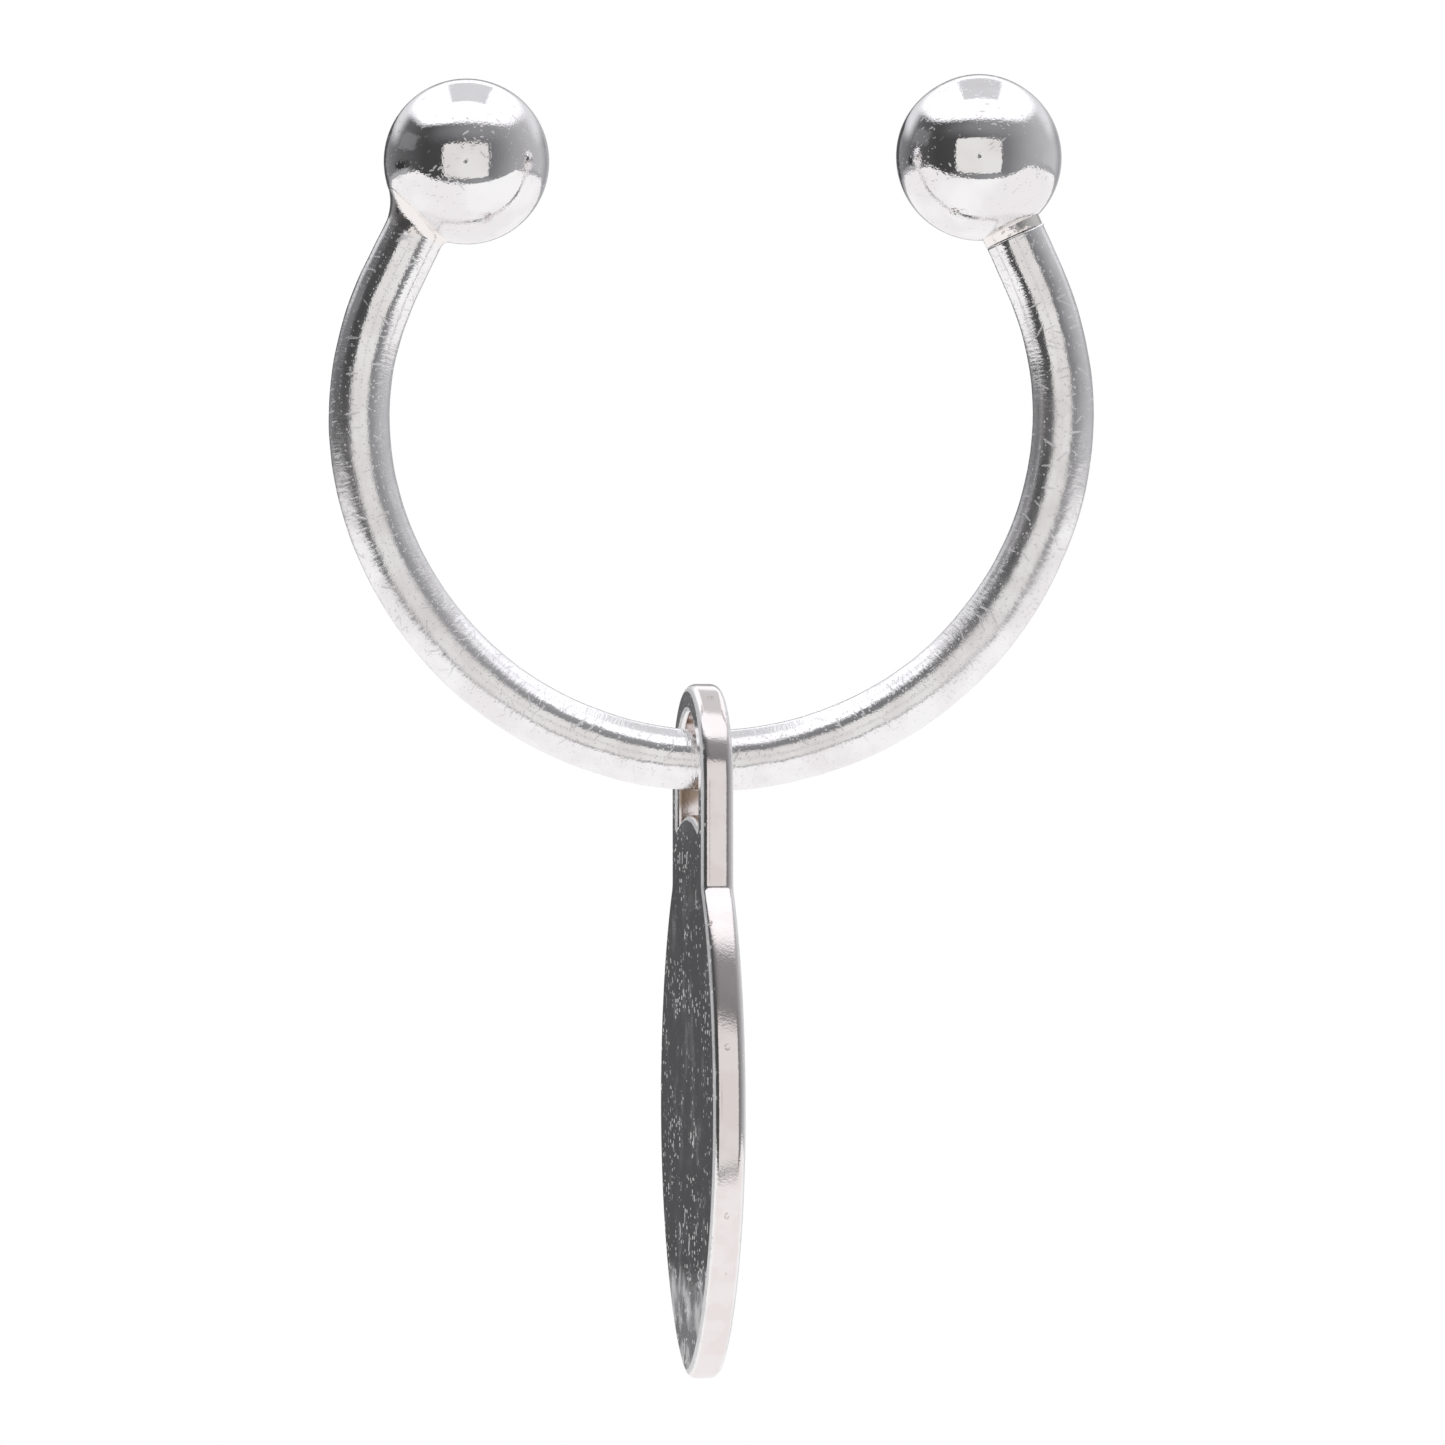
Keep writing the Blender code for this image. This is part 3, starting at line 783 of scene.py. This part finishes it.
def inward_normals(outline):
    """Unit normals of a closed outline that runs clockwise, pointing to its inside."""
    ahead = np.roll(outline, -1, axis=0) - np.roll(outline, 1, axis=0)
    ahead /= np.linalg.norm(ahead, axis=1, keepdims=True)
    return np.stack([ahead[:, 1], -ahead[:, 0]], axis=-1)


def at_bearing(outline, values, bearing):
    """Values of a closed outline at the given bearings from the middle of the loop."""
    own = np.arctan2(outline[:, 1] - RAY_MIDDLE[1], outline[:, 0] - RAY_MIDDLE[0])
    order = np.argsort(own)
    own = own[order]
    values = values[order]
    found = [np.interp(bearing, own, values[:, axis], period=math.tau) for axis in range(2)]
    return np.stack(found, axis=-1)


# %% The tag's rings
def rounded(outline, normals, radius, turns):
    """Rings that round an edge: at each turn the ring is set in by r(1 - cos) and raised by r sin."""
    rings = [outline + normals * radius * (1 - math.cos(turn)) for turn in turns]
    return rings, [radius * math.sin(turn) for turn in turns]


def tag_rings():
    """Rings from the middle of the hole's wall to the middle of the outer edge, then their mirror images."""
    outer = even_loop(outer_outline(), spacing=0.11 * MM, softness=0.07 * MM)
    outer_in = inward_normals(outer)
    hole = even_loop(hole_outline(), spacing=0.03 * MM, softness=0.10 * MM)
    bearing = np.arctan2(outer[:, 1] - RAY_MIDDLE[1], outer[:, 0] - RAY_MIDDLE[0])
    wall = at_bearing(hole, hole, bearing)
    wall_out = -at_bearing(hole, inward_normals(hole), bearing)
    wall_out /= np.linalg.norm(wall_out, axis=1, keepdims=True)

    half = TAG_THICKNESS / 2
    turns = np.linspace(0, math.pi / 2, EDGE_STEPS + 1)
    hole_rings, hole_rise = rounded(wall, wall_out, HOLE_EDGE_RADIUS, turns)
    edge_rings, edge_rise = rounded(outer, outer_in, TAG_EDGE_RADIUS, turns)
    rings = [wall] + hole_rings
    rise = [0] + [half - HOLE_EDGE_RADIUS + value for value in hole_rise]
    for share in SHARES_OVER_FACE:
        rings.append(hole_rings[-1] * (1 - share) + edge_rings[-1] * share)
        rise.append(half)
    rings += edge_rings[::-1]
    rise += [half - TAG_EDGE_RADIUS + value for value in edge_rise[::-1]]
    rings = np.stack(rings)
    rise = np.array(rise)
    all_rings = np.concatenate([rings, outer[None], rings[:0:-1]])
    all_rise = np.concatenate([rise, [0], -rise[:0:-1]])
    flat = np.stack([
        np.broadcast_to(all_rise[:, None], all_rings.shape[:2]),
        all_rings[:, :, 0],
        all_rings[:, :, 1],
    ], axis=-1)
    cos, sin = math.cos(TAG_YAW), math.sin(TAG_YAW)
    turn = np.array([[cos, -sin, 0], [sin, cos, 0], [0, 0, 1]])
    return flat @ turn.T + [TAG_SHIFT, 0, 0]


tag = ring_mesh("key_tag_polished", tag_rings(), "tag", "key_tag", wrap=True)

# %% [markdown]
# ## Polished silver
#
# New silver is a plain mirror. Silver that has been in a pocket is a mirror with a history: short scratches,
# small pits, and a fine haze where keys have rubbed. All of that is below what a mesh can carry, so it comes
# from the material. Each kind of mark is a height that a Bump node turns into a lean of the surface, and the
# same marks make the surface rougher. Bright scratches then show by themselves where the mirror reflects the
# dark.


# %% Marks on metal
MICRON = 1e-6
NICK_EDGE = 0.04
UNTURNED = (0, 0, 0)


def noise(where, size, detail=2.0):
    """A smooth random value from 0 to 1, mostly near a half, that varies over about this size."""
    return where.node("TexNoise", {}, {"Vector": where, "Scale": 1 / size, "Detail": detail})


def placed(where, turn, longer):
    """The same places for a pattern that is first made `longer` along its own axes and then turned."""
    values = {"Vector": where, "Rotation": turn, "Scale": longer}
    return where.node("Mapping", {"vector_type": "TEXTURE"}, values)


def nicks(where, turn, longer, spacing, size, share):
    """Short marks: the middles of a share of the cells of a cell pattern, made `longer` and then turned."""
    values = {"Vector": placed(where, turn, longer), "Scale": 1 / spacing}
    distance = where.node("TexVoronoi", {"feature": "F1"}, values)
    colour = where.node("TexVoronoi", {"feature": "F1"}, values, output="Color")
    chance = where.node("SeparateColor", {}, {0: colour})
    radius = chance.step(1 - share, 1) * (size / spacing)
    return (radius - distance).step(0, NICK_EDGE)


def worn_silver(name, surface):
    """Silver. From places on the piece, `surface` gives its height in microns, roughness and colour."""
    material = bpy.data.materials.new(name)
    material.use_nodes = True
    tree = material.node_tree
    where = Signal(tree).node("TexCoord", {}, {}, output="Object")
    height, rough, colour = surface(where)
    lean = where.node("Bump", {}, {"Height": height, "Strength": 1.0, "Distance": MICRON})
    shader = tree.nodes["Principled BSDF"]
    shader.inputs["Metallic"].default_value = 1.0
    tree.links.new(colour.socket, shader.inputs["Base Color"])
    tree.links.new(rough.socket, shader.inputs["Roughness"])
    tree.links.new(lean.socket, shader.inputs["Normal"])
    return material


# %% The finish of each piece
SILVER = (0.955, 0.95, 0.95, 1)
DULL_SILVER = (0.88, 0.86, 0.86, 1)
WARM_SILVER = (0.95, 0.91, 0.88, 1)
# The rim's colour: a duller silver with a pink tint, which is a painted pink reflection.
PAINTED_PINK_RIM_SILVER = (0.86, 0.80, 0.785, 1)
# Brown: real tarnish on the heated joints and in the pits, and a painted brown reflection on the tag's hole
# wall.
TARNISH_AND_PAINTED_REFLECTION = (0.42, 0.33, 0.26, 1)


def ball_surface(where):
    """A mirror with a patchy scatter of fine scratches, in three directions."""
    rising = nicks(where, (0, 0.9, 0), (1, 1, 8), spacing=0.18 * MM, size=0.055 * MM, share=0.55)
    falling = nicks(where, (0.3, -0.7, 0), (1, 1, 9), spacing=0.17 * MM, size=0.050 * MM, share=0.5)
    level = nicks(where, (0.2, 1.4, 0), (1, 1, 6), spacing=0.16 * MM, size=0.050 * MM, share=0.55)
    scratches = rising.at_least(falling).at_least(level)
    patch = noise(where, 2.6 * MM).step(0.34, 0.56)
    scratches = scratches * (0.15 + patch * 0.85)
    grain = noise(where, 0.10 * MM, 1.0)
    height = grain * (1.0 + patch * 4.0) - scratches * 1.2
    rough = 0.03 + patch * 0.03 + scratches * 0.40
    return height, rough, patch.blend(SILVER, DULL_SILVER)


def wire_surface(where):
    """Marks across the wire, on its own flat pattern, where x runs round it and y along it.

    It is rougher and more dented between the bottom of the ring and its middle height.
    """
    flat = where.node("UVMap", {"uv_map": "pattern"}, {})
    high = where.axes()[2]
    worn = 0.2 + high.window(3.5 * MM, 18.0 * MM, 3.5 * MM) * 0.8
    ripple = noise(placed(flat, UNTURNED, (4.5, 1, 1)), 0.14 * MM, 3.0)
    dents = noise(where, 0.45 * MM, 1.0)
    across = nicks(flat, (0, 0, 0.15), (8, 1, 1), spacing=0.16 * MM, size=0.050 * MM, share=0.5)
    back = nicks(flat, (0, 0, -0.5), (8, 1, 1), spacing=0.20 * MM, size=0.060 * MM, share=0.45)
    slant = nicks(flat, (0, 0, 0.8), (8, 1, 1), spacing=0.24 * MM, size=0.060 * MM, share=0.45)
    specks = nicks(flat, UNTURNED, (1, 1, 1), spacing=0.15 * MM, size=0.060 * MM, share=0.6)
    marks = across.at_least(back).at_least(slant).at_least(specks)
    grain = noise(where, 0.09 * MM, 1.0)
    cloud = noise(where, 1.8 * MM, 3.0).step(0.35, 0.65)
    height = ripple * 12.0 + dents * 18.0 * worn + grain * 5.0 - marks * 3.5
    rough = 0.07 + worn * 0.18 + cloud * 0.07 + marks * 0.28
    return height, rough, cloud.blend(SILVER, DULL_SILVER)


def tag_surface(where):
    """Pitted and scratched faces, edges worn matt, a dull rim with a painted pink reflection, tarnish in the
    pits, and a painted brown reflection on the wall in the hole.
    """
    x, y, z = where.axes()
    through = abs((x - TAG_SHIFT) * math.cos(TAG_YAW) + y * math.sin(TAG_YAW))
    rim = 1 - through.step(0.50 * MM, 0.66 * MM)
    ridge = through.step(0.635 * MM, 0.665 * MM) * (1 - through.step(0.735 * MM, 0.745 * MM))
    flat = placed(where, (0, 0, -TAG_YAW), (1, 2.9, 1))
    crowd = 0.1 + noise(where, 2.6 * MM, 1.0).step(0.34, 0.62) * 0.9
    specks = nicks(flat, UNTURNED, (1, 1, 1.4), spacing=0.17 * MM, size=0.075 * MM, share=0.7)
    strokes = nicks(flat, (0.06, 0, 0), (1, 1, 6), spacing=0.21 * MM, size=0.060 * MM, share=0.5)
    marks = specks.at_least(strokes) * crowd * (1 - rim)
    blot = noise(where, 0.12 * MM, 2.0)
    pits = nicks(where, UNTURNED, (1, 1, 1.4), spacing=0.9 * MM, size=0.20 * MM, share=0.6)
    spots = (pits - blot).step(0.42, 0.60) * rim
    height_in_loop = z - LOOP_CENTRE
    reach_squared = y * y + height_in_loop * height_in_loop
    near_loop = 1 - reach_squared.step(10.4 * MM * MM, 11.6 * MM * MM)
    # The hole's wall: the mask for a painted brown reflection in the recess, and a little extra roughness.
    hole = near_loop * (1 - z.step(-1.5 * MM, 0.5 * MM)) * rim
    grain = noise(where, 0.10 * MM, 2.0)
    cloud = noise(where, 1.5 * MM, 3.0).step(0.4, 0.7)
    haze = noise(placed(flat, UNTURNED, (1, 1, 2.5)), 0.8 * MM, 5.0).step(0.42, 0.72)
    at_tip = z.window(-28.5 * MM, -23.4 * MM, 1.0 * MM) * (0.6 + cloud * 0.6)
    at_loop = z.step(-7 * MM, -1 * MM) * 0.5
    scuff = (at_tip + at_loop).at_least(haze * 0.45)
    height = grain * (3.0 + rim * 1.5) - marks * 7.0 - spots * 4.0
    rough = 0.05 + cloud * 0.05 + rim * 0.05 + scuff * (1 - rim) * 0.36
    rough = rough + marks * 0.45 + ridge * 0.55 + hole * 0.15 + spots * 0.2
    # The rim gets a duller, pinkish colour. The pink is a painted reflection.
    silver_with_painted_pink_rim = (rim * (0.7 + cloud * 0.6)).blend(SILVER, PAINTED_PINK_RIM_SILVER)
    # Brown goes into the pits as tarnish, and over the hole's wall as a painted reflection.
    pit_tarnish_and_painted_hole_reflection = hole.at_least(spots * 0.6) * (1 - ridge)
    return height, rough, pit_tarnish_and_painted_hole_reflection.blend(silver_with_painted_pink_rim, TARNISH_AND_PAINTED_REFLECTION)


def joint_surface(where):
    """Metal that has been heated: grainy, warm and pitted."""
    marks = nicks(where, (0.3, 0.8, 0.1), (1, 1, 2.5), spacing=0.30 * MM, size=0.08 * MM, share=0.5)
    grain = noise(where, 0.12 * MM, 2.0)
    height = grain * 10.0 - marks * 8.0
    rough = 0.09 + marks * 0.3
    return height, rough, (marks * 0.4).blend(WARM_SILVER, TARNISH_AND_PAINTED_REFLECTION)


wire_finish = worn_silver("polished wire", wire_surface)
ball_finish = worn_silver("polished ball", ball_surface)
joint_finish = worn_silver("heated joint", joint_surface)
tag_finish = worn_silver("polished tag", tag_surface)
finishes = {
    bow: wire_finish,
    fixed_ball: ball_finish,
    screw_ball: ball_finish,
    solder: joint_finish,
    stud: joint_finish,
    bush: joint_finish,
    tag: tag_finish,
}
for piece, finish in finishes.items():
    piece.data.materials.append(finish)
print(len(set(finishes.values())), "finishes on", len(finishes), "pieces")
